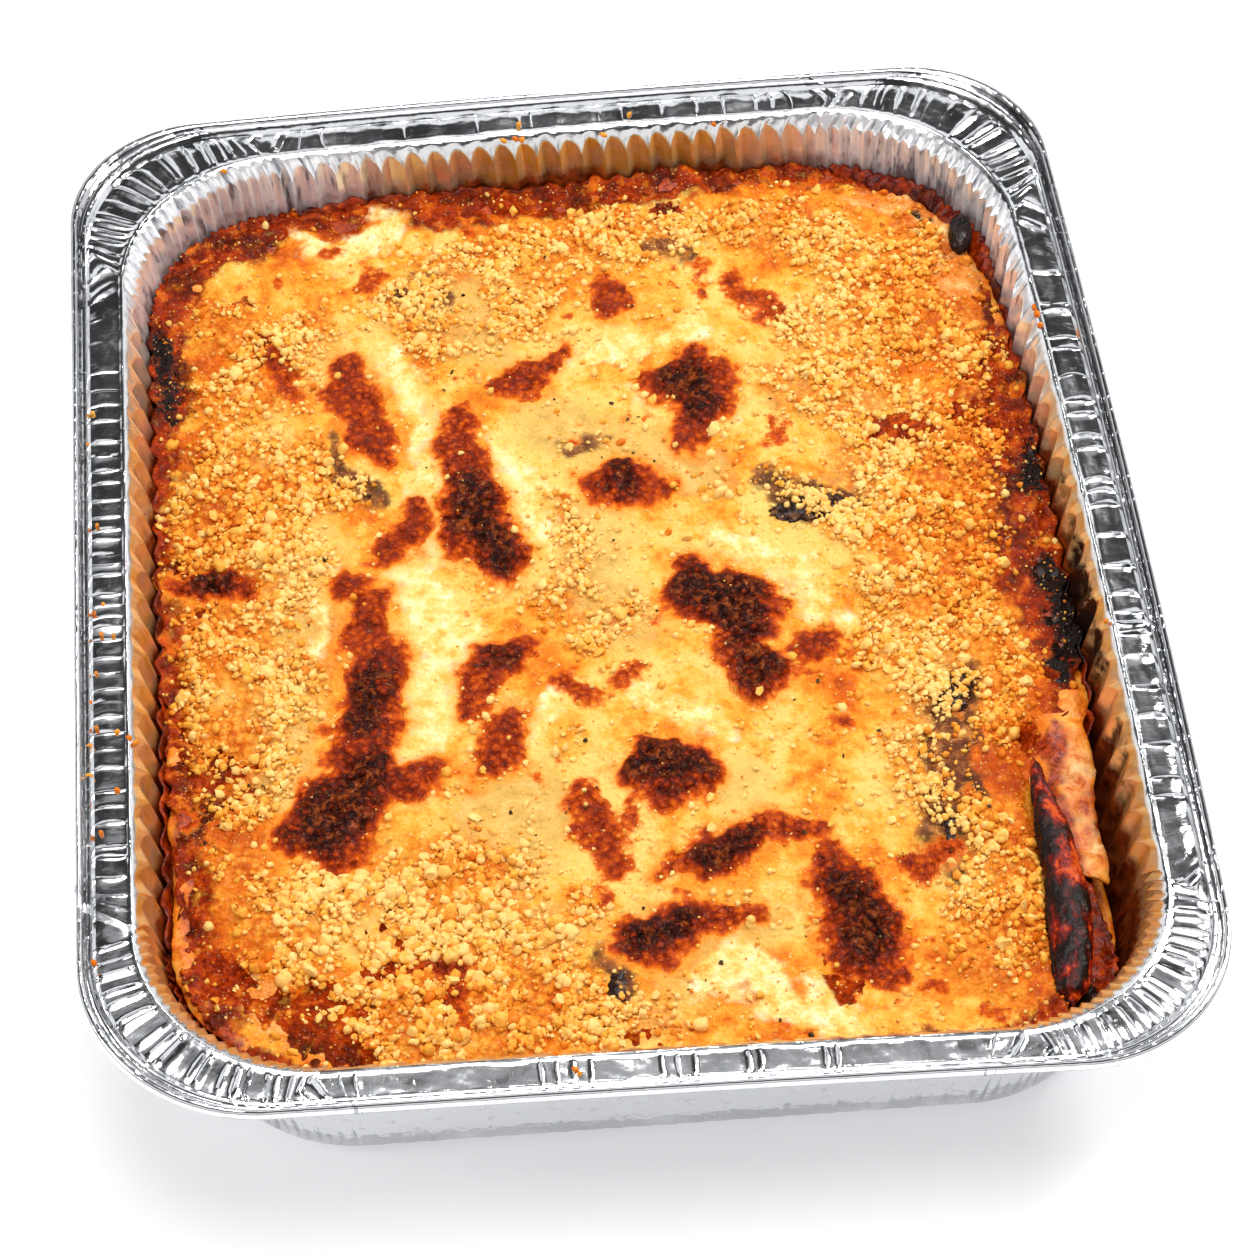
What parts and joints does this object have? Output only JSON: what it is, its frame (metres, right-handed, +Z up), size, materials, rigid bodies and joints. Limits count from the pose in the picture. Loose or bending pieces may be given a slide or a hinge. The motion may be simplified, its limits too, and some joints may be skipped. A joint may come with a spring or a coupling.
{
  "type": "foil tray meal",
  "caption": "Oven-baked layered pasta and vegetable meal with browned cheese and breadcrumbs, in the rectangular fluted aluminium foil tray it was baked in.",
  "frame": {"origin": "middle of the whole thing's bounding box, on the surface the tray stands on", "axes": "+Z up, +Y along the tray's longer side towards the back, +X to the right"},
  "size_m": [0.2666, 0.3208, 0.056],
  "materials": {
    "foil": "bright thin rolled foil, creased, with baked-on sauce",
    "tomato_filling": "wet tomato sauce with minced vegetables, darker where baked on",
    "pasta": "oily baked pasta, orange at its edges",
    "baked_cheese": "melted cheese, cream to golden, with dark brown blisters",
    "charred_pepper": "roasted red pepper skin, black along its ridges",
    "aubergine": "roasted aubergine skin, purple-black",
    "burnt_olive": "glossy, burnt black"
  },
  "bodies": {
    "root": {"foil_tray": "foil", "filling_lower": "tomato_filling", "pasta_sheet_lower": "pasta", "filling_upper": "tomato_filling", "pasta_sheet_top": "pasta", "cheese_layer": "baked_cheese", "charred_pepper_strip": "charred_pepper", "aubergine_piece_1": "aubergine", "aubergine_piece_2": "aubergine", "aubergine_piece_3": "aubergine", "aubergine_piece_4": "aubergine", "burnt_olive": "burnt_olive"}
  },
  "joints": []
}
